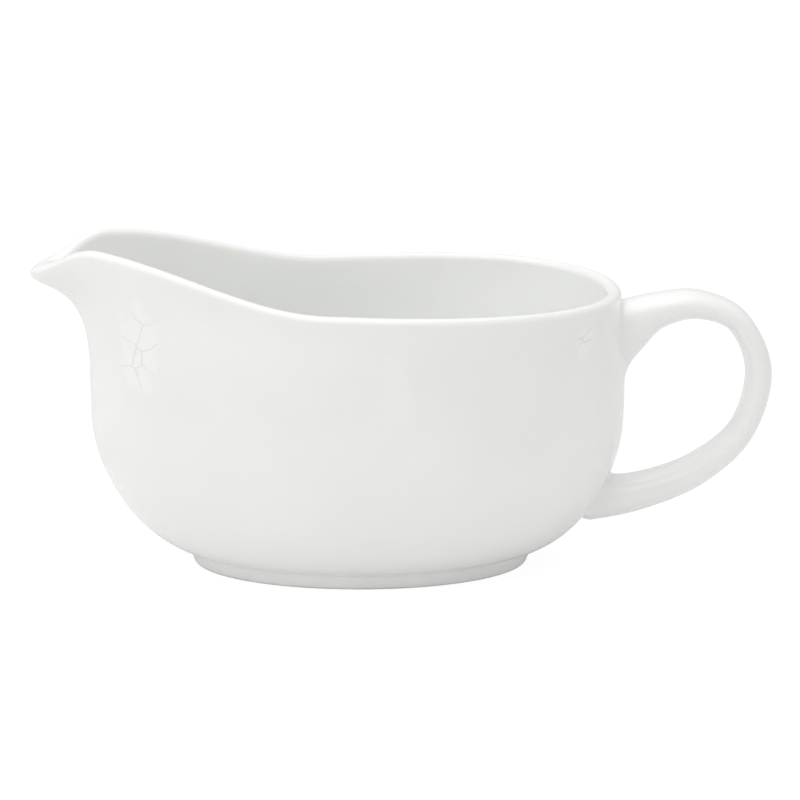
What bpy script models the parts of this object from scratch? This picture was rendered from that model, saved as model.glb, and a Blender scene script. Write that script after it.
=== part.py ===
"""Gravy boat: an oval bowl drawn up into a pouring spout, a loop handle and a low foot ring.

Run with: blender --background --python part.py

Lengths are in metres and +Z is up. The spout points to -X and the handle to +X. Both sides of the boat
are the same, and the origin is on the table, under the middle of the whole length.

Each ring round the bowl is swept by an angle called turn: 0 is the handle end and pi is the spout end.
"""

import math

import bmesh
import bpy
from mathutils import Vector

MM = 0.001
QUARTER = math.pi / 2

# Clearance between pieces that are luted together.
GAP = 0.3 * MM

# Outlines seen from above. lean moves the widest place towards the handle, and pinch narrows both ends.
RIM_LINE = {
    "front": -97.2 * MM,
    "back": 59.8 * MM,
    "half_width": 45.1 * MM,
    "lean": 25.3 * MM,
    "pinch": 0.22,
}
BELLY_LINE = {
    "front": -88.5 * MM,
    "back": 63.2 * MM,
    "half_width": 47.5 * MM,
    "lean": 7.5 * MM,
    "pinch": 0.035,
}
FOOT_LINE = {
    "front": -60.5 * MM,
    "back": 36.7 * MM,
    "half_width": 32.2 * MM,
    "lean": 0.0,
    "pinch": 0.0,
}

# Heights of the bowl.
BASE_Z = 4.5 * MM
FLOOR_Z = 9.5 * MM
BELLY_Z = 42.0 * MM
SHOULDER_Z = 55.4 * MM
SPOUT_SHOULDER_RISE = 3.3 * MM
RIM_Z = 80.6 * MM

# The rim rises from RISE_START to RISE_END, and then dips over the nose of the spout.
RISE_START = -21.6 * MM
RISE_END = -88.9 * MM
RISE = 12.9 * MM
DIP_START = -84.5 * MM
NOSE_DIP = 6.0 * MM
BACK_DIP_START = 20.0 * MM
BACK_DIP = 0.6 * MM

# Wall, and the rounded lip on top of it. The lip grows into a rolled nose at the spout.
WALL = 4.2 * MM
BELLY_FULLNESS = 1.16
FLOOR_INSET = 3.0 * MM
LIP_REACH = 2.1 * MM
LIP_DROP = 2.0 * MM
NOSE_REACH = 5.6 * MM
NOSE_DROP = 1.8 * MM
NOSE_POWER = 150
NOSE_OPENING = math.radians(40)

# How the wall bends from its shoulder to the lip: the heights of the curve's two handles, as shares of the
# way up, outside at the sides, outside at the spout, and inside.
FLARE_POWER = 6
SIDE_BEND = (0.45, 0.65)
SPOUT_BEND = (1.07, 0.78)
INNER_BEND = (0.45, 0.6)

# Foot ring: how far in from the foot line each corner of its section is, and its height.
FOOT_TOP_Z = BASE_Z - GAP
FOOT_SECTION = (
    (0.0, FOOT_TOP_Z),
    (0.5 * MM, 1.4 * MM),
    (0.9 * MM, 0.5 * MM),
    (1.6 * MM, 0.0),
    (4.0 * MM, 0.0),
    (4.7 * MM, 0.5 * MM),
    (5.2 * MM, 1.4 * MM),
    (6.0 * MM, FOOT_TOP_Z),
)

# Handle: X, Z, half thickness and half width of its strap, from the upper root round to the lower root.
HANDLE_STATIONS = (
    (56.0 * MM, 63.5 * MM, 10.5 * MM, 8.6 * MM),
    (63.2 * MM, 68.4 * MM, 8.0 * MM, 8.2 * MM),
    (72.0 * MM, 73.1 * MM, 5.0 * MM, 7.7 * MM),
    (83.7 * MM, 74.9 * MM, 3.8 * MM, 7.5 * MM),
    (95.2 * MM, 70.0 * MM, 3.3 * MM, 7.5 * MM),
    (101.3 * MM, 55.6 * MM, 3.7 * MM, 7.5 * MM),
    (96.7 * MM, 38.6 * MM, 3.6 * MM, 7.5 * MM),
    (84.1 * MM, 27.0 * MM, 4.2 * MM, 7.7 * MM),
    (67.0 * MM, 20.2 * MM, 4.9 * MM, 8.2 * MM),
    (52.6 * MM, 18.4 * MM, 6.3 * MM, 8.8 * MM),
)
STRAP_SQUARENESS = 2.4

# Colours and roughness of the pieces.
WHITE = (0.86, 0.87, 0.86)
GLOSS = 0.12
FOOT_WHITE = (0.84, 0.85, 0.84)
FOOT_GLOSS = 0.18

# Facets. Crowding brings the points of a ring closer together at the spout.
TURNS = 60
CROWDING = 0.35
WALL_STEPS = 8
FLARE_STEPS = 6
LIP_STEPS = 3
STRAP_SIDES = 16
STEPS_PER_STATION = 4
SHARP_ANGLE = math.radians(40)


def clear_scene():
    """Remove every object of the start-up scene."""
    for old_object in list(bpy.data.objects):
        bpy.data.objects.remove(old_object, do_unlink=True)


def new_collection(name):
    """A collection linked to the scene."""
    collection = bpy.data.collections.new(name)
    bpy.context.scene.collection.children.link(collection)
    return collection


def glaze(name, color, roughness):
    """Principled material of a fired and glazed piece."""
    material = bpy.data.materials.new(name)
    material.use_nodes = True
    shader = material.node_tree.nodes["Principled BSDF"]
    shader.inputs["Base Color"].default_value = (*color, 1.0)
    shader.inputs["Roughness"].default_value = roughness
    shader.inputs["Metallic"].default_value = 0.0
    return material


def mix(start, end, share):
    """Value that is share of the way from start to end."""
    return start + (end - start) * share


def smooth_step(share):
    """Share from 0 to 1, eased at both ends."""
    share = min(max(share, 0.0), 1.0)
    return share * share * (3 - 2 * share)


def plan_point(line, turn, grow=0.0):
    """Point (x, y) of an outline at an angle, moved outwards by grow."""
    middle = (line["back"] + line["front"]) / 2
    reach = (line["back"] - line["front"]) / 2
    cosine = math.cos(turn)
    sine = math.sin(turn)
    x = middle + reach * cosine + line["lean"] * sine ** 2
    y = line["half_width"] * sine * (1 - line["pinch"] * cosine ** 2)
    slope_x = -reach * sine + 2 * line["lean"] * sine * cosine
    slope_y = line["half_width"] * (cosine - line["pinch"] * (cosine ** 3 - 2 * sine ** 2 * cosine))
    length = math.hypot(slope_x, slope_y)
    return Vector((x + grow * slope_y / length, y - grow * slope_x / length))


def rim_height(x):
    """Height of the rim's crest where it passes x."""
    rise = RISE * smooth_step((RISE_START - x) / (RISE_START - RISE_END))
    nose_share = max(DIP_START - x, 0.0) / (DIP_START - RIM_LINE["front"])
    back_share = max(x - BACK_DIP_START, 0.0) / (RIM_LINE["back"] - BACK_DIP_START)
    return RIM_Z + rise - NOSE_DIP * nose_share ** 2 - BACK_DIP * back_share ** 2


def spout_share(turn, power):
    """1 at the spout's tip, falling to 0 on both sides of it, and faster with a higher power."""
    return ((1 - math.cos(turn)) / 2) ** power


def bezier(start, start_handle, end_handle, end, share):
    """Point of a cubic curve."""
    rest = 1 - share
    return (start * rest ** 3 + start_handle * 3 * share * rest ** 2
            + end_handle * 3 * share ** 2 * rest + end * share ** 3)


def wall_point(low, high, low_z, share):
    """Point of the rounded lower wall, from the flat bottom at share 0 to the upright belly at share 1."""
    outwards = math.sin(QUARTER * share) ** BELLY_FULLNESS
    upwards = 1 - max(math.cos(QUARTER * share), 0.0) ** BELLY_FULLNESS
    return mix(low, high, outwards).to_3d() + Vector((0, 0, mix(low_z, BELLY_Z, upwards)))


def outer_rib(turn, grow=0.0):
    """Points up the outside of the bowl, from the base to the crest of the lip."""
    foot = plan_point(FOOT_LINE, turn, grow)
    belly = plan_point(BELLY_LINE, turn, grow)
    points = []
    for step in range(WALL_STEPS + 1):
        points.append(wall_point(foot, belly, BASE_Z, step / WALL_STEPS))

    nose = spout_share(turn, NOSE_POWER)
    flare = spout_share(turn, FLARE_POWER)
    reach = LIP_REACH + NOSE_REACH * nose + grow
    drop = LIP_DROP + NOSE_DROP * nose
    crest = plan_point(RIM_LINE, turn)
    crest_z = rim_height(crest.x)
    outside = (plan_point(RIM_LINE, turn, reach) - crest) / reach
    edge = (crest + outside * reach).to_3d() + Vector((0, 0, crest_z - drop))
    shoulder = belly.to_3d() + Vector((0, 0, SHOULDER_Z + SPOUT_SHOULDER_RISE * flare))
    start_handle = shoulder.copy()
    start_handle.z = mix(shoulder.z, edge.z, mix(SIDE_BEND[0], SPOUT_BEND[0], flare))
    end_handle = edge.copy()
    end_handle.z = mix(shoulder.z, edge.z, mix(SIDE_BEND[1], SPOUT_BEND[1], flare))
    for step in range(FLARE_STEPS + 1):
        points.append(bezier(shoulder, start_handle, end_handle, edge, step / FLARE_STEPS))

    for step in range(1, LIP_STEPS + 1):
        angle = QUARTER * (1 - step / LIP_STEPS)
        place = crest + outside * reach * math.sin(angle)
        points.append(place.to_3d() + Vector((0, 0, crest_z - drop * (1 - math.cos(angle)))))
    return points


def inner_rib(turn):
    """Points down the inside of the bowl, from just inside the crest to the edge of the floor."""
    nose = spout_share(turn, NOSE_POWER)
    crest = plan_point(RIM_LINE, turn)
    crest_z = rim_height(crest.x)
    inside = (plan_point(RIM_LINE, turn, -LIP_REACH) - crest) / LIP_REACH
    last_angle = QUARTER - NOSE_OPENING * nose
    points = []
    for step in range(1, LIP_STEPS + 1):
        angle = last_angle * step / LIP_STEPS
        place = crest + inside * LIP_REACH * math.sin(angle)
        points.append(place.to_3d() + Vector((0, 0, crest_z - LIP_DROP * (1 - math.cos(angle)))))

    top = points[-1]
    belly = plan_point(BELLY_LINE, turn, -WALL)
    shoulder = belly.to_3d() + Vector((0, 0, SHOULDER_Z))
    leaving = (inside * LIP_REACH * math.cos(last_angle)).to_3d()
    leaving.z = -LIP_DROP * math.sin(last_angle)
    rise = top.z - shoulder.z
    top_handle = top + leaving.normalized() * rise * (1 - INNER_BEND[1])
    shoulder_handle = shoulder + Vector((0, 0, rise * INNER_BEND[0]))
    for step in range(1, FLARE_STEPS + 1):
        points.append(bezier(top, top_handle, shoulder_handle, shoulder, step / FLARE_STEPS))

    floor = plan_point(FOOT_LINE, turn, -FLOOR_INSET)
    for step in range(WALL_STEPS + 1):
        points.append(wall_point(floor, belly, FLOOR_Z, 1 - step / WALL_STEPS))
    return points


def loft(name, rings, collection, closed=False):
    """Object whose skin joins each ring of points to the next. Its ends are capped unless it is closed."""
    builder = bmesh.new()
    rows = [[builder.verts.new(point) for point in ring] for ring in rings]
    count = len(rings[0])
    pairs = list(zip(rows, rows[1:]))
    if closed:
        pairs.append((rows[-1], rows[0]))
    for row, next_row in pairs:
        for index in range(count):
            after = (index + 1) % count
            builder.faces.new((row[index], row[after], next_row[after], next_row[index]))
    if not closed:
        builder.faces.new(list(reversed(rows[0])))
        builder.faces.new(rows[-1])
    bmesh.ops.recalc_face_normals(builder, faces=builder.faces)
    mesh = bpy.data.meshes.new(name)
    builder.to_mesh(mesh)
    builder.free()
    mesh.shade_smooth()
    mesh.set_sharp_from_angle(angle=SHARP_ANGLE)
    new_object = bpy.data.objects.new(name, mesh)
    collection.objects.link(new_object)
    return new_object


def all_turns():
    """The angles of the points round each ring."""
    even_turns = [2 * math.pi * index / TURNS for index in range(TURNS)]
    return [turn + CROWDING * math.sin(turn) for turn in even_turns]


def make_bowl(collection):
    """Oval shell with its spout, rounded lip, flat base and flat floor."""
    ribs = [outer_rib(turn) + inner_rib(turn) for turn in all_turns()]
    bowl = loft("bowl", list(zip(*ribs)), collection)
    bowl.data.materials.append(glaze("bowl_glaze", WHITE, GLOSS))
    return bowl


def make_foot_ring(collection):
    """Low oval ring that stands on the table, under the edge of the base."""
    rings = []
    for inset, height in FOOT_SECTION:
        ring = [plan_point(FOOT_LINE, turn, -inset).to_3d() + Vector((0, 0, height)) for turn in all_turns()]
        rings.append(ring)
    foot_ring = loft("foot_ring", rings, collection, closed=True)
    foot_ring.data.materials.append(glaze("foot_glaze", FOOT_WHITE, FOOT_GLOSS))
    return foot_ring


def strap_centre(position):
    """Handle station at a position along the strap, on a smooth curve through all the stations."""
    last = len(HANDLE_STATIONS) - 1
    first = min(int(position), last - 1)
    share = position - first
    around = [HANDLE_STATIONS[min(max(first + offset, 0), last)] for offset in (-1, 0, 1, 2)]
    before, start, end, after = (Vector(station) for station in around)
    start_handle = start + (end - before) / 6
    end_handle = end - (after - start) / 6
    return bezier(start, start_handle, end_handle, end, share)


def strap_section(position):
    """Ring of points round the strap: a rounded oblong, square to the strap's line."""
    x, z, half_thickness, half_width = strap_centre(position)
    nudge = 0.01
    ahead = strap_centre(min(position + nudge, len(HANDLE_STATIONS) - 1))
    behind = strap_centre(max(position - nudge, 0))
    along = Vector((ahead[0] - behind[0], 0, ahead[1] - behind[1])).normalized()
    outwards = Vector((-along.z, 0, along.x))
    power = 2 / STRAP_SQUARENESS
    ring = []
    for index in range(STRAP_SIDES):
        angle = 2 * math.pi * index / STRAP_SIDES
        thick = math.copysign(abs(math.cos(angle)) ** power, math.cos(angle)) * half_thickness
        wide = math.copysign(abs(math.sin(angle)) ** power, math.sin(angle)) * half_width
        ring.append(Vector((x, 0, z)) + outwards * thick + Vector((0, wide, 0)))
    return ring


def make_handle(collection, cutters):
    """Strap loop whose two roots are cut to the bowl's outside, a hair clear of it."""
    steps = (len(HANDLE_STATIONS) - 1) * STEPS_PER_STATION
    sections = [strap_section(index / STEPS_PER_STATION) for index in range(steps + 1)]
    handle = loft("handle", sections, collection)
    handle.data.materials.append(glaze("handle_glaze", WHITE, GLOSS))

    ribs = [outer_rib(turn, GAP) for turn in all_turns()]
    clearance = loft("bowl_clearance", list(zip(*ribs)), cutters)
    clearance.hide_render = True
    clearance.display_type = "WIRE"
    cut = handle.modifiers.new("fit_to_bowl", "BOOLEAN")
    cut.operation = "DIFFERENCE"
    cut.solver = "EXACT"
    cut.object = clearance
    return handle


def main():
    clear_scene()
    boat = new_collection("gravy_boat")
    cutters = new_collection("cutters")
    make_bowl(boat)
    make_foot_ring(boat)
    make_handle(boat, cutters)


main()
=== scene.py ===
"""Looks of the gravy boat: white glazed porcelain on a pale floor in soft studio light.

Lengths are in metres and +Z is up. The spout points to -X and the handle to +X. The outlines and heights are
those of the CAD model. Here the walls are finely divided, and they get the slight unevenness of fired ware,
the glazed fillets where the handle is luted on, and a foot with its unglazed edge.

Each ring round the bowl is swept by an angle called turn: 0 is the handle end and pi is the spout end.
"""

import math

import bmesh
import bpy
import numpy as np
from mathutils import Euler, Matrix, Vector, noise
from mathutils.bvhtree import BVHTree


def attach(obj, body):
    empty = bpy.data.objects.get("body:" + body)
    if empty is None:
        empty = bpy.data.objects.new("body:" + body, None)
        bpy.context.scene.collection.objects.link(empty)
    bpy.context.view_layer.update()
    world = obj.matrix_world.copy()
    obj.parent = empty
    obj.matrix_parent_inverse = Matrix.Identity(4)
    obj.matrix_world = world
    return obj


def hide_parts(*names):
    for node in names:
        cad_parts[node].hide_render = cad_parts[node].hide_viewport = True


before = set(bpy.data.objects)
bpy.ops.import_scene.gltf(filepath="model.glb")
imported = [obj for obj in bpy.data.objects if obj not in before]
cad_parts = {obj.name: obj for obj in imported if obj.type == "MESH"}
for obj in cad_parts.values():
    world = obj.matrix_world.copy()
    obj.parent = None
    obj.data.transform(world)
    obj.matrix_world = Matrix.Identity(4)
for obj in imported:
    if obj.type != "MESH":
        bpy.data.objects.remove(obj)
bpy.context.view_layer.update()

MM = 0.001
QUARTER = math.pi / 2
FULL_TURN = 2 * math.pi

# Outlines seen from above. lean moves the widest place towards the handle, and pinch narrows both ends.
RIM_LINE = {
    "front": -97.2 * MM,
    "back": 59.8 * MM,
    "half_width": 45.1 * MM,
    "lean": 25.3 * MM,
    "pinch": 0.22,
}
BELLY_LINE = {
    "front": -88.5 * MM,
    "back": 63.2 * MM,
    "half_width": 47.5 * MM,
    "lean": 7.5 * MM,
    "pinch": 0.035,
}
FOOT_LINE = {
    "front": -60.5 * MM,
    "back": 36.7 * MM,
    "half_width": 32.2 * MM,
    "lean": 0.0,
    "pinch": 0.0,
}

# Heights of the bowl.
BASE_Z = 4.5 * MM
FLOOR_Z = 9.5 * MM
BELLY_Z = 42.0 * MM
SHOULDER_Z = 55.4 * MM
SPOUT_SHOULDER_RISE = 3.3 * MM
RIM_Z = 80.6 * MM

# The rim rises from RISE_START to RISE_END, and then dips over the nose of the spout.
RISE_START = -21.6 * MM
RISE_END = -88.9 * MM
RISE = 12.9 * MM
DIP_START = -84.5 * MM
NOSE_DIP = 6.0 * MM
BACK_DIP_START = 20.0 * MM
BACK_DIP = 0.6 * MM

# Wall, and the rounded lip on top of it. The lip grows into a rolled nose at the spout.
WALL = 4.2 * MM
BELLY_FULLNESS = 1.16
FLOOR_INSET = 3.0 * MM
LIP_REACH = 2.1 * MM
LIP_DROP = 2.0 * MM
NOSE_REACH = 5.6 * MM
NOSE_DROP = 1.8 * MM
NOSE_POWER = 150
NOSE_OPENING = math.radians(40)

# How the wall bends from its shoulder to the lip: the heights of the curve's two handles, as shares of the
# way up, outside at the sides, outside at the spout, and inside.
FLARE_POWER = 6
SIDE_BEND = (0.45, 0.65)
SPOUT_BEND = (1.07, 0.78)
INNER_BEND = (0.45, 0.6)

# The floor inside is dished, and the base under the bowl is domed.
FLOOR_DISH = 0.5 * MM
BASE_DOME = 0.9 * MM

# Foot ring: how far in from the foot line each point of its section is, and its height. The section starts
# inside the base, comes out as a fine bead under the bowl, and turns under to the edge it stands on.
FOOT_SECTION = (
    (0.9 * MM, 5.1 * MM),
    (-0.35 * MM, 4.85 * MM),
    (-0.42 * MM, 4.55 * MM),
    (-0.1 * MM, 4.22 * MM),
    (0.2 * MM, 4.05 * MM),
    (0.2 * MM, 3.85 * MM),
    (0.1 * MM, 3.6 * MM),
    (0.14 * MM, 3.1 * MM),
    (0.35 * MM, 2.1 * MM),
    (0.6 * MM, 1.2 * MM),
    (0.85 * MM, 0.6 * MM),
    (1.2 * MM, 0.18 * MM),
    (1.7 * MM, 0.0),
    (3.9 * MM, 0.0),
    (4.4 * MM, 0.18 * MM),
    (4.8 * MM, 0.6 * MM),
    (5.2 * MM, 1.6 * MM),
    (5.6 * MM, 3.0 * MM),
    (6.1 * MM, 4.1 * MM),
    (7.2 * MM, 4.7 * MM),
    (8.6 * MM, 5.0 * MM),
    (8.0 * MM, 5.6 * MM),
)

# Handle: X, Z, half thickness and half width of its strap, from the upper root round to the lower root.
HANDLE_STATIONS = (
    (56.0 * MM, 63.5 * MM, 10.5 * MM, 8.6 * MM),
    (63.2 * MM, 68.4 * MM, 8.0 * MM, 8.2 * MM),
    (72.0 * MM, 73.1 * MM, 5.0 * MM, 7.7 * MM),
    (83.7 * MM, 74.9 * MM, 3.8 * MM, 7.5 * MM),
    (95.2 * MM, 70.0 * MM, 3.3 * MM, 7.5 * MM),
    (101.3 * MM, 55.6 * MM, 3.7 * MM, 7.5 * MM),
    (96.7 * MM, 38.6 * MM, 3.6 * MM, 7.5 * MM),
    (84.1 * MM, 27.0 * MM, 4.2 * MM, 7.7 * MM),
    (67.0 * MM, 20.2 * MM, 4.9 * MM, 8.2 * MM),
    (52.6 * MM, 18.4 * MM, 6.3 * MM, 8.8 * MM),
)
STRAP_SQUARENESS = 2.4

# Radius of the glazed fillets at the handle's two roots: on the strap's outer face, at its two edges and on
# its inner face, where the loop is.
UPPER_FILLETS = (1.2 * MM, 1.0 * MM, 4.5 * MM)
LOWER_FILLETS = (1.3 * MM, 2.2 * MM, 3.6 * MM)

# Past its fillet each line of the handle's skin goes a little further along the bowl and then into it, by
# these shares of TUCK.
TUCK = 0.5 * MM
TUCK_ALONG = 0.5
TUCK_IN = 0.3
TUCK_END = 2

# Slight unevenness of fired ware: (depth, length of its waves) of each layer. Below STEADY_HEIGHT it dies away,
# so that the foot stays flat. The seed gives the same waves on each run.
UNEVENNESS = ((0.30 * MM, 46 * MM), (0.10 * MM, 19 * MM))
UNEVENNESS_SEED = 7
STEADY_HEIGHT = 9.0 * MM

# Fineness of the meshes. Crowding brings the points of a ring closer together at the spout. The start of a
# fillet is traced with FINE_TRACE of a trace step, and DIRECTION_NUDGE is a share of a handle station.
TURNS = 360
CROWDING = 0.35
WALL_STEPS = 40
FLARE_STEPS = 36
LIP_STEPS = 10
OUTER_COUNT = 100
INNER_COUNT = 80
EASING_PASSES = 30
HELD_POINTS = 8
DISC_STEPS = 12
FOOT_STEPS = 3
STRAP_SIDES = 96
STRAP_STEPS = 260
FILLET_STEPS = 14
TRACE_STEPS = 60
FINE_TRACE = 0.1
DIRECTION_NUDGE = 0.01

# Camera: a long lens looking a little down at the near side.
VIEW_ELEVATION = math.radians(14)
VIEW_DISTANCE = 1.0
VIEW_TARGET = Vector((-0.57 * MM, 0, 46.9 * MM))
VIEW_WIDTH = 0.2277
SENSOR = 36
CLIP_END = 50


def mix(start, end, share):
    """Value that is share of the way from start to end."""
    return start + (end - start) * share


def smooth_step(share):
    """Share from 0 to 1, eased at both ends."""
    share = min(max(share, 0.0), 1.0)
    return share * share * (3 - 2 * share)


def plan_point(line, turn, grow=0.0):
    """Point (x, y) of an outline at an angle, moved outwards by grow."""
    middle = (line["back"] + line["front"]) / 2
    reach = (line["back"] - line["front"]) / 2
    cosine = math.cos(turn)
    sine = math.sin(turn)
    x = middle + reach * cosine + line["lean"] * sine ** 2
    y = line["half_width"] * sine * (1 - line["pinch"] * cosine ** 2)
    slope_x = -reach * sine + 2 * line["lean"] * sine * cosine
    slope_y = line["half_width"] * (cosine - line["pinch"] * (cosine ** 3 - 2 * sine ** 2 * cosine))
    length = math.hypot(slope_x, slope_y)
    return Vector((x + grow * slope_y / length, y - grow * slope_x / length))


def rim_height(x):
    """Height of the rim's crest where it passes x."""
    rise = RISE * smooth_step((RISE_START - x) / (RISE_START - RISE_END))
    nose_share = max(DIP_START - x, 0.0) / (DIP_START - RIM_LINE["front"])
    back_share = max(x - BACK_DIP_START, 0.0) / (RIM_LINE["back"] - BACK_DIP_START)
    return RIM_Z + rise - NOSE_DIP * nose_share ** 2 - BACK_DIP * back_share ** 2


def spout_share(turn, power):
    """1 at the spout's tip, falling to 0 on both sides of it, and faster with a higher power."""
    return ((1 - math.cos(turn)) / 2) ** power


def bezier(start, start_handle, end_handle, end, share):
    """Point of a cubic curve."""
    rest = 1 - share
    return (start * rest ** 3 + start_handle * 3 * share * rest ** 2
            + end_handle * 3 * share ** 2 * rest + end * share ** 3)


def spline_point(corners, first, share):
    """Point of a smooth curve through corners, share of the way from the corner numbered first to the next."""
    last = len(corners) - 1
    around = [Vector(corners[min(max(first + offset, 0), last)]) for offset in (-1, 0, 1, 2)]
    before, start, end, after = around
    start_handle = start + (end - before) / 6
    end_handle = end - (after - start) / 6
    return bezier(start, start_handle, end_handle, end, share)


def wall_point(low, high, low_z, share):
    """Point of the rounded lower wall, from the flat bottom at share 0 to the upright belly at share 1."""
    outwards = math.sin(QUARTER * share) ** BELLY_FULLNESS
    upwards = 1 - max(math.cos(QUARTER * share), 0.0) ** BELLY_FULLNESS
    return mix(low, high, outwards).to_3d() + Vector((0, 0, mix(low_z, BELLY_Z, upwards)))


def outer_rib(turn):
    """Points up the outside of the bowl, from the base to the crest of the lip."""
    foot = plan_point(FOOT_LINE, turn)
    belly = plan_point(BELLY_LINE, turn)
    points = []
    for step in range(WALL_STEPS + 1):
        points.append(wall_point(foot, belly, BASE_Z, step / WALL_STEPS))

    nose = spout_share(turn, NOSE_POWER)
    flare = spout_share(turn, FLARE_POWER)
    reach = LIP_REACH + NOSE_REACH * nose
    drop = LIP_DROP + NOSE_DROP * nose
    crest = plan_point(RIM_LINE, turn)
    crest_z = rim_height(crest.x)
    outside = (plan_point(RIM_LINE, turn, reach) - crest) / reach
    edge = (crest + outside * reach).to_3d() + Vector((0, 0, crest_z - drop))
    shoulder = belly.to_3d() + Vector((0, 0, SHOULDER_Z + SPOUT_SHOULDER_RISE * flare))
    start_handle = shoulder.copy()
    start_handle.z = mix(shoulder.z, edge.z, mix(SIDE_BEND[0], SPOUT_BEND[0], flare))
    end_handle = edge.copy()
    end_handle.z = mix(shoulder.z, edge.z, mix(SIDE_BEND[1], SPOUT_BEND[1], flare))
    for step in range(FLARE_STEPS + 1):
        points.append(bezier(shoulder, start_handle, end_handle, edge, step / FLARE_STEPS))

    for step in range(1, LIP_STEPS + 1):
        angle = QUARTER * (1 - step / LIP_STEPS)
        place = crest + outside * reach * math.sin(angle)
        points.append(place.to_3d() + Vector((0, 0, crest_z - drop * (1 - math.cos(angle)))))
    return points


def inner_rib(turn):
    """Points down the inside of the bowl, from just inside the crest to the edge of the floor."""
    nose = spout_share(turn, NOSE_POWER)
    crest = plan_point(RIM_LINE, turn)
    crest_z = rim_height(crest.x)
    inside = (plan_point(RIM_LINE, turn, -LIP_REACH) - crest) / LIP_REACH
    last_angle = QUARTER - NOSE_OPENING * nose
    points = []
    for step in range(1, LIP_STEPS + 1):
        angle = last_angle * step / LIP_STEPS
        place = crest + inside * LIP_REACH * math.sin(angle)
        points.append(place.to_3d() + Vector((0, 0, crest_z - LIP_DROP * (1 - math.cos(angle)))))

    top = points[-1]
    belly = plan_point(BELLY_LINE, turn, -WALL)
    shoulder = belly.to_3d() + Vector((0, 0, SHOULDER_Z))
    leaving = (inside * LIP_REACH * math.cos(last_angle)).to_3d()
    leaving.z = -LIP_DROP * math.sin(last_angle)
    rise = top.z - shoulder.z
    top_handle = top + leaving.normalized() * rise * (1 - INNER_BEND[1])
    shoulder_handle = shoulder + Vector((0, 0, rise * INNER_BEND[0]))
    for step in range(1, FLARE_STEPS + 1):
        points.append(bezier(top, top_handle, shoulder_handle, shoulder, step / FLARE_STEPS))

    floor = plan_point(FOOT_LINE, turn, -FLOOR_INSET)
    for step in range(1, WALL_STEPS + 1):
        points.append(wall_point(floor, belly, FLOOR_Z, 1 - step / WALL_STEPS))
    return points


def relaxed(ribs, count, passes):
    """The ribs with count even points each, eased along their length but not at their ends."""
    eased = np.empty((len(ribs), count, 3))
    for index, rib in enumerate(ribs):
        points = np.array(rib)
        lengths = np.linalg.norm(np.diff(points, axis=0), axis=1)
        places = np.concatenate(([0.0], np.cumsum(lengths)))
        even_places = np.linspace(0.0, places[-1], count)
        for axis in range(3):
            eased[index, :, axis] = np.interp(even_places, places, points[:, axis])
    from_end = np.minimum(np.arange(count), np.arange(count)[::-1])
    freedom = np.clip(from_end / HELD_POINTS, 0.0, 1.0)[1:-1, np.newaxis]
    for _ in range(passes):
        average = (eased[:, :-2] + 2 * eased[:, 1:-1] + eased[:, 2:]) / 4
        eased[:, 1:-1] += (average - eased[:, 1:-1]) * freedom
    return [[Vector(point) for point in rib] for rib in eased]


def outer_ribs(turns):
    """Ribs up the outside of the bowl, with their lips as they are and their walls eased."""
    ribs = [outer_rib(turn) for turn in turns]
    walls = relaxed([rib[:-LIP_STEPS] for rib in ribs], OUTER_COUNT, EASING_PASSES)
    return [wall + rib[-LIP_STEPS:] for wall, rib in zip(walls, ribs)]


def inner_ribs(turns):
    """Ribs down the inside of the bowl, with their lips as they are and their walls eased."""
    ribs = [inner_rib(turn) for turn in turns]
    walls = relaxed([rib[LIP_STEPS - 1:] for rib in ribs], INNER_COUNT, EASING_PASSES)
    return [rib[:LIP_STEPS - 1] + wall for wall, rib in zip(walls, ribs)]


def disc_points(edge_point, middle, sag):
    """Points from a disc's edge in to its middle. The disc is sag lower in the middle than at its edge."""
    points = []
    for step in range(1, DISC_STEPS):
        share = step / DISC_STEPS
        place = mix(edge_point, middle, share)
        place.z = edge_point.z - sag * smooth_step(share)
        points.append(place)
    return points


def all_turns():
    """The angles of the points round each ring."""
    even_turns = [FULL_TURN * index / TURNS for index in range(TURNS)]
    return [turn + CROWDING * math.sin(turn) for turn in even_turns]


def uneven(point):
    """The point, moved by the slight unevenness that the whole boat shares. Its foot stays flat."""
    moved = point.copy()
    steady = smooth_step(point.z / STEADY_HEIGHT)
    for depth, length in UNEVENNESS:
        moved += noise.noise_vector(point / length) * depth * steady
    return moved


def link_object(name, builder):
    """Object made from the mesh under construction, linked to the scene."""
    bmesh.ops.recalc_face_normals(builder, faces=builder.faces)
    mesh = bpy.data.meshes.new(name)
    builder.to_mesh(mesh)
    builder.free()
    new_object = bpy.data.objects.new(name, mesh)
    bpy.context.scene.collection.objects.link(new_object)
    return new_object


def build_mesh(name, rows, first_middle=None, last_middle=None, closed=False):
    """Object whose skin joins each ring of points to the next. A fan closes an end that has a middle point."""
    builder = bmesh.new()
    rings = [[builder.verts.new(uneven(point)) for point in row] for row in rows]
    count = len(rows[0])
    pairs = list(zip(rings, rings[1:]))
    if closed:
        pairs.append((rings[-1], rings[0]))
    for ring, next_ring in pairs:
        for index in range(count):
            after = (index + 1) % count
            builder.faces.new((ring[index], ring[after], next_ring[after], next_ring[index]))
    for ring, middle in ((rings[0], first_middle), (rings[-1], last_middle)):
        if middle is None:
            continue
        hub = builder.verts.new(uneven(middle))
        for index in range(count):
            builder.faces.new((ring[index], ring[(index + 1) % count], hub))
    skin = link_object(name, builder)
    skin.data.shade_smooth()
    return skin


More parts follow.
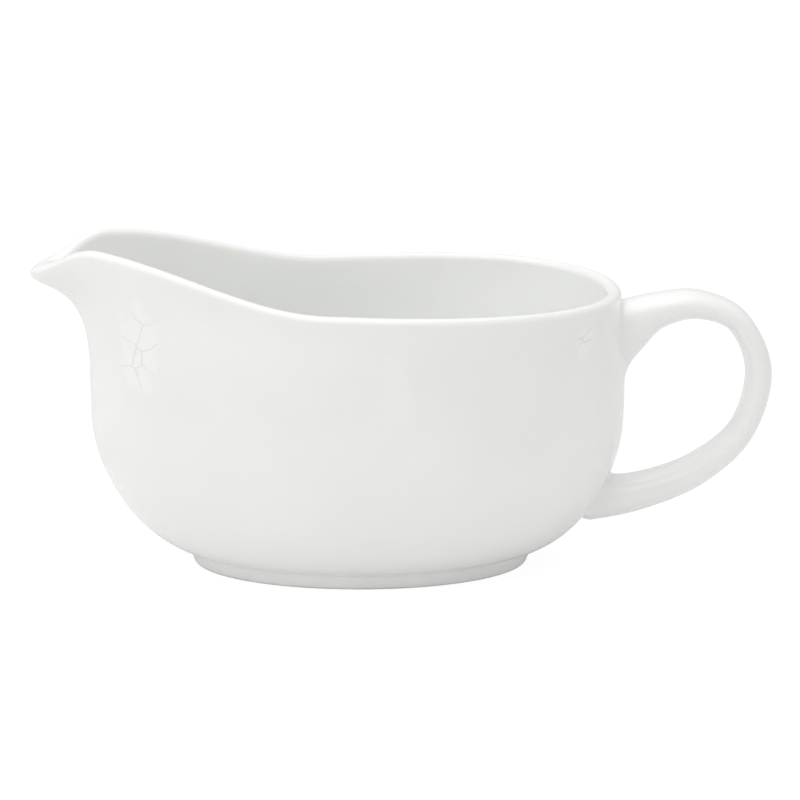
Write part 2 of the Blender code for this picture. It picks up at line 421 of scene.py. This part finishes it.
def make_bowl():
    """Oval shell with its spout, rounded lip, dished floor and domed base."""
    turns = all_turns()
    base_middle = Vector(((FOOT_LINE["front"] + FOOT_LINE["back"]) / 2, 0, BASE_Z + BASE_DOME))
    floor_middle = Vector((base_middle.x, 0, FLOOR_Z - FLOOR_DISH))
    ribs = []
    for outer, inner in zip(outer_ribs(turns), inner_ribs(turns)):
        base = disc_points(outer[0], base_middle, -BASE_DOME)
        floor = disc_points(inner[-1], floor_middle, FLOOR_DISH)
        ribs.append(list(reversed(base)) + outer + inner + floor)
    return build_mesh("bowl_glazed", list(zip(*ribs)), base_middle, floor_middle)


def smooth_line(corners, steps):
    """Points of a smooth curve through (inset, height) corners, with steps points for each corner."""
    points = []
    for first in range(len(corners) - 1):
        for step in range(steps):
            points.append(spline_point(corners, first, step / steps))
    points.append(Vector(corners[-1]))
    return points


def make_foot_ring():
    """Low oval ring that stands on the table. Its top runs into the base of the bowl."""
    rows = []
    for inset, height in smooth_line(FOOT_SECTION, FOOT_STEPS):
        ring = [plan_point(FOOT_LINE, turn, -inset).to_3d() for turn in all_turns()]
        for point in ring:
            point.z = max(height, 0.0)
        rows.append(ring)
    return build_mesh("foot_ring_glazed", rows, closed=True)


def strap_centre(position):
    """Handle station at a position along the strap, on a smooth curve through all the stations."""
    first = min(int(position), len(HANDLE_STATIONS) - 2)
    return spline_point(HANDLE_STATIONS, first, position - first)


def strap_directions(position):
    """Directions along the strap's line and out of its outer face."""
    ahead = strap_centre(min(position + DIRECTION_NUDGE, len(HANDLE_STATIONS) - 1))
    behind = strap_centre(max(position - DIRECTION_NUDGE, 0))
    along = Vector((ahead[0] - behind[0], 0, ahead[1] - behind[1])).normalized()
    return along, Vector((-along.z, 0, along.x))


def strap_point(position, angle):
    """Point of the strap's skin. Angle 0 is on its outer face, and pi on its inner face."""
    x, z, half_thickness, half_width = strap_centre(position)
    outwards = strap_directions(position)[1]
    power = 2 / STRAP_SQUARENESS
    thick = math.copysign(abs(math.cos(angle)) ** power, math.cos(angle)) * half_thickness
    wide = math.copysign(abs(math.sin(angle)) ** power, math.sin(angle)) * half_width
    return Vector((x, 0, z)) + outwards * thick + Vector((0, wide, 0))


def outer_skin():
    """Search tree of the bowl's outside, before its unevenness."""
    ribs = outer_ribs(all_turns())
    points = [point for rib in ribs for point in rib]
    size = len(ribs[0])
    faces = []
    for rib_index in range(len(ribs)):
        start = rib_index * size
        after = ((rib_index + 1) % len(ribs)) * size
        for step in range(size - 1):
            faces.append((start + step, after + step, after + step + 1, start + step + 1))
    return BVHTree.FromPolygons(points, faces)


def root_hit(skin, angle, middle, end):
    """Position, point and normal of the bowl where one line of the strap's skin goes into it."""
    before = strap_point(middle, angle)
    for step in range(1, TRACE_STEPS + 1):
        position = mix(middle, end, step / TRACE_STEPS)
        after = strap_point(position, angle)
        way = after - before
        place, normal, _, distance = skin.ray_cast(before, way.normalized(), way.length)
        if place is not None:
            position -= (end - middle) / TRACE_STEPS * (1 - distance / way.length)
            if normal.dot(way) > 0:
                normal = -normal
            return position, place, normal
        before = after
    return end, before, -way.normalized()


def fillet_radius(fillets, angle):
    """Fillet round a root, from its outer face over its edge to its inner face."""
    outer, edge, inner = fillets
    facing = math.cos(angle)
    if facing > 0:
        return mix(edge, outer, smooth_step(facing))
    return mix(edge, inner, smooth_step(-facing))


def root_rows(skin, fillets, middle, end):
    """Rings of points down a root's fillet and just into the bowl, and where each line leaves the strap."""
    columns = []
    leaving = []
    for side in range(STRAP_SIDES):
        angle = FULL_TURN * side / STRAP_SIDES
        position, place, normal = root_hit(skin, angle, middle, end)
        radius = fillet_radius(fillets, angle)
        step = (middle - end) / TRACE_STEPS * FINE_TRACE
        start_position = position
        while (strap_point(start_position, angle) - place).length < radius:
            start_position += step
        start = strap_point(start_position, angle)
        centre = strap_centre(position)
        away = place - Vector((centre[0], 0, centre[1]))
        away -= normal * away.dot(normal)
        landing_point, landing_normal = skin.find_nearest(place + away.normalized() * radius)[:2]
        if landing_normal.dot(normal) <= 0:
            landing_normal = -landing_normal
        column = []
        for index in range(1, FILLET_STEPS + 1):
            share = index / FILLET_STEPS
            first = mix(start, place, share)
            second = mix(place, landing_point, share)
            column.append(mix(first, second, share))
        column.append(landing_point + away.normalized() * TUCK * TUCK_ALONG - landing_normal * TUCK * TUCK_IN)
        column.append(landing_point - landing_normal * TUCK * TUCK_END)
        columns.append(column)
        leaving.append(start_position)
    return list(zip(*columns)), leaving


def make_handle():
    """Strap loop with a glazed fillet where each of its two roots is luted to the bowl."""
    skin = outer_skin()
    last = len(HANDLE_STATIONS) - 1
    middle = last / 2
    upper_rows, upper_positions = root_rows(skin, UPPER_FILLETS, middle, 0)
    lower_rows, lower_positions = root_rows(skin, LOWER_FILLETS, middle, last)
    rows = list(reversed(upper_rows))
    for step in range(STRAP_STEPS + 1):
        row = []
        for side in range(STRAP_SIDES):
            position = mix(upper_positions[side], lower_positions[side], step / STRAP_STEPS)
            row.append(strap_point(position, FULL_TURN * side / STRAP_SIDES))
        rows.append(row)
    rows.extend(lower_rows)
    first_middle = sum(rows[0], Vector()) / STRAP_SIDES
    last_middle = sum(rows[-1], Vector()) / STRAP_SIDES
    return build_mesh("handle_glazed", rows, first_middle, last_middle)


def new_node(material, kind, **settings):
    """Node of a material, with some of its settings and inputs filled in."""
    node = material.node_tree.nodes.new(kind)
    for name, value in settings.items():
        if name in node.inputs:
            node.inputs[name].default_value = value
        else:
            setattr(node, name, value)
    return node


def object_place(material):
    """Output with the place of each point on its object."""
    return new_node(material, "ShaderNodeTexCoord").outputs["Object"]


def noise_layer(material, length, detail):
    """Three-dimensional noise with waves of the given length, in metres."""
    layer = new_node(material, "ShaderNodeTexNoise", Scale=1 / length, Detail=detail)
    material.node_tree.links.new(object_place(material), layer.inputs["Vector"])
    return layer


def ranged(material, output, low, high, to_low, to_high):
    """Output of a map-range node that turns low..high into to_low..to_high."""
    node = new_node(material, "ShaderNodeMapRange")
    node.inputs["From Min"].default_value = low
    node.inputs["From Max"].default_value = high
    node.inputs["To Min"].default_value = to_low
    node.inputs["To Max"].default_value = to_high
    material.node_tree.links.new(output, node.inputs["Value"])
    return node.outputs["Result"]


def blended(material, share, low, high):
    """Output of a mix node between two colours, or outputs, by a share."""
    node = new_node(material, "ShaderNodeMix", data_type="RGBA")
    links = material.node_tree.links
    links.new(share, node.inputs[0])
    for socket, value in ((node.inputs[6], low), (node.inputs[7], high)):
        if isinstance(value, tuple):
            socket.default_value = (*value, 1.0)
        else:
            links.new(value, socket)
    return node.outputs[2]


def combined(material, operation, first, second):
    """Output of a math node that works on two outputs."""
    node = new_node(material, "ShaderNodeMath", operation=operation)
    material.node_tree.links.new(first, node.inputs[0])
    material.node_tree.links.new(second, node.inputs[1])
    return node.outputs["Value"]


# Noise keeps mostly within this span.
NOISE_SPAN = (0.3, 0.7)


def spread_noise(material, length, detail, to_low, to_high):
    """Output of a noise layer, spread over to_low..to_high."""
    layer = noise_layer(material, length, detail)
    return ranged(material, layer.outputs["Fac"], *NOISE_SPAN, to_low, to_high)


# Glaze: white with a faint warm green, a little greyer where it is thick, under a thin glossy coat. Its two
# reliefs, orange peel and a fine grain, have the length of their waves, a strength and a depth.
GLAZE_LIGHT = (0.938, 0.945, 0.925)
GLAZE_DEEP = (0.908, 0.916, 0.895)
GLAZE_IOR = 1.5
COAT_WEIGHT = 0.4
COAT_ROUGHNESS = 0.03
CLOUD_LENGTH = 28 * MM
GLOSS_LENGTH = 9 * MM
GLOSS_ROUGHNESS = (0.13, 0.22)
PEEL = (3.2 * MM, 0.3, 0.025 * MM)
GRAIN = (0.7 * MM, 0.2, 0.004 * MM)

# Painted reflections of bright studio panels, as whiter patches in the glaze colour of the bowl, some crossed
# by painted dark lines. fade is the share of a patch's edge that fades, whiter says how much whiter it is, and
# lines how strong its dark lines are.
PAINTED_REFLECTIONS = (
    {
        "middle": (-73.0 * MM, -26.5 * MM, 68.0 * MM),
        "half_sizes": (7.0 * MM, 9.0 * MM, 14.0 * MM),
        "fade": 0.2,
        "whiter": 0.55,
        "lines": 0.65,
    },
    {
        "middle": (-0.5 * MM, -47.0 * MM, 61.0 * MM),
        "half_sizes": (7.0 * MM, 6.0 * MM, 13.0 * MM),
        "fade": 0.7,
        "whiter": 0.4,
        "lines": 0.0,
    },
    {
        "middle": (50.0 * MM, -30.0 * MM, 70.5 * MM),
        "half_sizes": (3.6 * MM, 6.0 * MM, 6.2 * MM),
        "fade": 0.3,
        "whiter": 0.5,
        "lines": 0.6,
    },
)
# Colour of the painted reflections.
REFLECTION_WHITE = (0.972, 0.978, 0.962)
REFLECTION_WANDER = 0.25
REFLECTION_WANDER_LENGTH = 6 * MM

# Dark lines of the painted reflections, drawn as a crackle pattern: the size of its cells, the width of its
# lines as a share of a cell, and how far the lines bend.
REFLECTION_LINE_GREY = (0.80, 0.805, 0.79)
REFLECTION_LINE_CELL = 8 * MM
REFLECTION_LINE_WIDTH = 0.035
REFLECTION_LINE_BEND = 3 * MM
REFLECTION_LINE_BEND_LENGTH = 5 * MM

# Bare edge under the foot: the heights where the glaze starts and is whole, and how far they wander.
BISQUE_LIGHT = (0.80, 0.785, 0.75)
BISQUE_DEEP = (0.70, 0.68, 0.64)
BISQUE_ROUGHNESS = 0.85
BARE_HEIGHTS = (0.35 * MM, 0.55 * MM)
BARE_WANDER = 0.15 * MM
BARE_WANDER_LENGTH = 4 * MM
SPECKLE_LENGTH = 0.5 * MM


def reflection_share(material, patch):
    """Mask of a painted reflection: one inside an uneven ellipsoid, fading to nought over its edge."""
    fit = new_node(material, "ShaderNodeMapping", vector_type="TEXTURE")
    fit.inputs["Location"].default_value = patch["middle"]
    fit.inputs["Scale"].default_value = patch["half_sizes"]
    material.node_tree.links.new(object_place(material), fit.inputs["Vector"])
    reach = new_node(material, "ShaderNodeVectorMath", operation="LENGTH")
    material.node_tree.links.new(fit.outputs["Vector"], reach.inputs[0])
    wander = spread_noise(material, REFLECTION_WANDER_LENGTH, 2, -REFLECTION_WANDER, REFLECTION_WANDER)
    total = combined(material, "ADD", reach.outputs["Value"], wander)
    return ranged(material, total, 1 - patch["fade"], 1, 1, 0)


def reflection_line_share(material):
    """Output that is one along the painted dark lines of the reflections, drawn like crackle."""
    links = material.node_tree.links
    wander = noise_layer(material, REFLECTION_LINE_BEND_LENGTH, 2)
    bend = new_node(material, "ShaderNodeVectorMath", operation="MULTIPLY_ADD")
    links.new(wander.outputs["Color"], bend.inputs[0])
    bend.inputs[1].default_value = (REFLECTION_LINE_BEND, REFLECTION_LINE_BEND, REFLECTION_LINE_BEND)
    links.new(object_place(material), bend.inputs[2])
    cells = new_node(
        material, "ShaderNodeTexVoronoi", feature="DISTANCE_TO_EDGE", Scale=1 / REFLECTION_LINE_CELL
    )
    links.new(bend.outputs["Vector"], cells.inputs["Vector"])
    return ranged(material, cells.outputs["Distance"], REFLECTION_LINE_WIDTH / 2, REFLECTION_LINE_WIDTH, 1, 0)


def with_painted_reflections(material, color):
    """Colour with the painted reflections, whiter patches and their dark lines, laid over it."""
    reflection_lines = reflection_line_share(material)
    for patch in PAINTED_REFLECTIONS:
        share = reflection_share(material, patch)
        color = blended(material, ranged(material, share, 0, 1, 0, patch["whiter"]), color, REFLECTION_WHITE)
        if patch["lines"]:
            lines = combined(material, "MULTIPLY", ranged(material, share, 0, 1, 0, patch["lines"]), reflection_lines)
            # Painted dark lines of a reflection.
            color = blended(material, lines, color, REFLECTION_LINE_GREY)
    return color


def with_bare_edge(material, color, gloss):
    """Colour and roughness with the bare edge under the foot laid over them."""
    links = material.node_tree.links
    split = new_node(material, "ShaderNodeSeparateXYZ")
    links.new(object_place(material), split.inputs["Vector"])
    wander = spread_noise(material, BARE_WANDER_LENGTH, 3, -BARE_WANDER, BARE_WANDER)
    height = combined(material, "ADD", split.outputs["Z"], wander)
    bare = ranged(material, height, *BARE_HEIGHTS, 1, 0)
    speckle = noise_layer(material, SPECKLE_LENGTH, 4)
    bisque = blended(material, speckle.outputs["Fac"], BISQUE_DEEP, BISQUE_LIGHT)
    rough = new_node(material, "ShaderNodeMix", data_type="FLOAT")
    links.new(bare, rough.inputs[0])
    links.new(gloss, rough.inputs[2])
    rough.inputs[3].default_value = BISQUE_ROUGHNESS
    return blended(material, bare, color, bisque), rough.outputs[0]


def relief(material, length, strength, depth, under=None):
    """Normal output of a fine relief, laid over another one where it is given."""
    waves = noise_layer(material, length, 2)
    bump = new_node(material, "ShaderNodeBump", Strength=strength, Distance=depth)
    material.node_tree.links.new(waves.outputs["Fac"], bump.inputs["Height"])
    if under is not None:
        material.node_tree.links.new(under, bump.inputs["Normal"])
    return bump.outputs["Normal"]


def make_glaze(name, bare_foot=False):
    """Glossy porcelain glaze with faint clouding and a fine orange-peel surface."""
    material = bpy.data.materials.new(name)
    material.use_nodes = True
    shader = material.node_tree.nodes["Principled BSDF"]
    shader.inputs["IOR"].default_value = GLAZE_IOR
    shader.inputs["Coat Weight"].default_value = COAT_WEIGHT
    shader.inputs["Coat Roughness"].default_value = COAT_ROUGHNESS

    clouds = spread_noise(material, CLOUD_LENGTH, 3, 0, 1)
    color = blended(material, clouds, GLAZE_DEEP, GLAZE_LIGHT)
    gloss = spread_noise(material, GLOSS_LENGTH, 2, *GLOSS_ROUGHNESS)
    if bare_foot:
        color, gloss = with_bare_edge(material, color, gloss)
    else:
        # Painted reflections: whiter patches with dark lines in the glaze colour.
        color = with_painted_reflections(material, color)
    peel = relief(material, *PEEL)
    grain = relief(material, *GRAIN, under=peel)

    links = material.node_tree.links
    links.new(color, shader.inputs["Base Color"])
    links.new(gloss, shader.inputs["Roughness"])
    links.new(grain, shader.inputs["Normal"])
    links.new(peel, shader.inputs["Coat Normal"])
    return material


# The camera sees a pale floor whose shadows are softened by a glow. The boat is lit by the plain white table
# just under it, which the camera doesn't see, and by a small light pad in the table that fills in the shade
# under the bowl.
FLOOR_RADIUS = 6.0
FLOOR_SIDES = 128
FLOOR_RINGS = (0.3, 0.6, 1.0, 1.6, 2.4, 4.0, FLOOR_RADIUS)
FLOOR_LIGHT = (0.14, 0.14, 0.138)
FLOOR_DEEP = (0.13, 0.13, 0.128)
FLOOR_GLOW = 0.91
TABLE_LIGHT = (0.82, 0.82, 0.815)
TABLE_DEEP = (0.80, 0.80, 0.795)
TABLE_DROP = 0.2 * MM
PAD_RADIUS = 0.13
PAD_DROP = 0.1 * MM
PAD_GLOW = 0.07
PAD_WHITE = 0.82
BACKDROP_BOTTOM = -0.2
BACKDROP_TOP = 5.0
BACKDROP_WHITE = 1.05
PAPER_CLOUD_LENGTH = 60 * MM
PAPER_ROUGHNESS = 0.9
PAPER_SPECULAR = 0.1
PURE_WHITE = (1.0, 1.0, 1.0, 1.0)


def circle(builder, radius, height):
    """Ring of new points, level with the floor."""
    points = []
    for side in range(FLOOR_SIDES):
        angle = FULL_TURN * side / FLOOR_SIDES
        points.append(builder.verts.new((radius * math.cos(angle), radius * math.sin(angle), height)))
    return points


def make_disc(name, height, light, deep, glow):
    """Level round sheet under the boat, faintly clouded like paper."""
    builder = bmesh.new()
    rings = [circle(builder, radius, height) for radius in FLOOR_RINGS]
    hub = builder.verts.new((0, 0, height))
    for side in range(FLOOR_SIDES):
        after = (side + 1) % FLOOR_SIDES
        builder.faces.new((rings[0][side], rings[0][after], hub))
        for ring, next_ring in zip(rings, rings[1:]):
            builder.faces.new((ring[side], ring[after], next_ring[after], next_ring[side]))
    disc = link_object(name, builder)

    material = bpy.data.materials.new(name + "_paper")
    material.use_nodes = True
    shader = material.node_tree.nodes["Principled BSDF"]
    shader.inputs["Roughness"].default_value = PAPER_ROUGHNESS
    shader.inputs["Specular IOR Level"].default_value = PAPER_SPECULAR
    shader.inputs["Emission Color"].default_value = PURE_WHITE
    shader.inputs["Emission Strength"].default_value = glow
    clouds = spread_noise(material, PAPER_CLOUD_LENGTH, 4, 0, 1)
    material.node_tree.links.new(blended(material, clouds, deep, light), shader.inputs["Base Color"])
    disc.data.materials.append(material)
    return disc


def hide_from_light(piece):
    """The piece neither lights, shades nor is reflected in anything."""
    piece.visible_diffuse = False
    piece.visible_glossy = False
    piece.visible_shadow = False


def make_floor():
    """Pale floor that the camera sees, the table that lights the boat, and a white backdrop round them."""
    floor = make_disc("floor", 0.0, FLOOR_LIGHT, FLOOR_DEEP, FLOOR_GLOW)
    hide_from_light(floor)
    table = make_disc("table", -TABLE_DROP, TABLE_LIGHT, TABLE_DEEP, 0.0)
    table.visible_camera = False

    builder = bmesh.new()
    builder.faces.new(circle(builder, PAD_RADIUS, -PAD_DROP))
    pad = link_object("light_pad", builder)
    pad.data.materials.append(glowing("pad_white", PAD_GLOW, PAD_WHITE))
    pad.visible_camera = False

    builder = bmesh.new()
    low = circle(builder, FLOOR_RADIUS, BACKDROP_BOTTOM)
    high = circle(builder, FLOOR_RADIUS, BACKDROP_TOP)
    for side in range(FLOOR_SIDES):
        after = (side + 1) % FLOOR_SIDES
        builder.faces.new((low[side], low[after], high[after], high[side]))
    backdrop = link_object("backdrop", builder)
    backdrop.data.materials.append(glowing("backdrop_white", BACKDROP_WHITE))
    hide_from_light(backdrop)


def glowing(name, strength, white=0.0):
    """Material of a given whiteness that gives off an even white light."""
    material = bpy.data.materials.new(name)
    material.use_nodes = True
    shader = material.node_tree.nodes["Principled BSDF"]
    shader.inputs["Base Color"].default_value = (white, white, white, 1.0)
    shader.inputs["Specular IOR Level"].default_value = 0.0
    shader.inputs["Emission Color"].default_value = PURE_WHITE
    shader.inputs["Emission Strength"].default_value = strength
    return material


# Most of the light comes evenly from all round. The softboxes add the rest.
WORLD_LIGHT = 0.73

# Softboxes: azimuth and elevation in degrees, and power in watts. Azimuth 0 is over the camera, and it grows
# towards +X.
SOFTBOXES = {
    "top_softbox": (-120, 80, 4.2),
    "left_softbox": (-80, 30, 2.3),
    "high_left_softbox": (-60, 62, 2.2),
    "high_front_softbox": (0, 65, 0.8),
    "rear_softbox": (170, 45, 0.8),
}
SOFTBOX_DISTANCE = 1.4
SOFTBOX_SIZE = (1.5, 1.1)


def make_world():
    """Even white light from all round."""
    world = bpy.data.worlds.new("studio")
    bpy.context.scene.world = world
    world.use_nodes = True
    background = world.node_tree.nodes["Background"]
    background.inputs["Color"].default_value = PURE_WHITE
    background.inputs["Strength"].default_value = WORLD_LIGHT


def direction(azimuth, elevation):
    """Direction away from the boat, from degrees."""
    azimuth = math.radians(azimuth)
    elevation = math.radians(elevation)
    level = math.cos(elevation)
    return Vector((math.sin(azimuth) * level, -math.cos(azimuth) * level, math.sin(elevation)))


def add_softbox(name, azimuth, elevation, power):
    """Oblong soft light that faces the boat."""
    data = bpy.data.lights.new(name, "AREA")
    data.shape = "RECTANGLE"
    data.size, data.size_y = SOFTBOX_SIZE
    data.energy = power
    light = bpy.data.objects.new(name, data)
    bpy.context.scene.collection.objects.link(light)
    away = direction(azimuth, elevation)
    light.location = VIEW_TARGET + away * SOFTBOX_DISTANCE
    light.rotation_euler = away.to_track_quat("Z", "Y").to_euler()
    light.visible_camera = False


def make_lights():
    """Large soft lights overhead, on the left, in front and behind."""
    for name, (azimuth, elevation, power) in SOFTBOXES.items():
        add_softbox(name, azimuth, elevation, power)


def make_camera():
    """Long-lens camera at the near side."""
    data = bpy.data.cameras.new("camera")
    data.sensor_width = SENSOR
    data.lens = SENSOR * VIEW_DISTANCE / VIEW_WIDTH
    data.clip_end = CLIP_END
    camera = bpy.data.objects.new("camera", data)
    bpy.context.scene.collection.objects.link(camera)
    away = Vector((0, -math.cos(VIEW_ELEVATION), math.sin(VIEW_ELEVATION)))
    camera.location = VIEW_TARGET + away * VIEW_DISTANCE
    camera.rotation_euler = Euler((QUARTER - VIEW_ELEVATION, 0, 0))
    bpy.context.scene.camera = camera


def main():
    noise.seed_set(UNEVENNESS_SEED)
    glaze = make_glaze("white_glaze")
    foot_glaze = make_glaze("foot_glaze", bare_foot=True)
    pieces = (
        (make_bowl(), "bowl", "white_glaze", glaze),
        (make_handle(), "handle", "white_glaze", glaze),
        (make_foot_ring(), "foot_ring", "foot_glaze", foot_glaze),
    )
    for piece, node, slot, material in pieces:
        piece.data.materials.append(material)
        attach(piece, "root")
        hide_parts(node)

    make_floor()
    make_world()
    make_lights()
    make_camera()
    bpy.context.scene.view_settings.view_transform = "Standard"
    bpy.context.scene.view_settings.look = "None"


main()
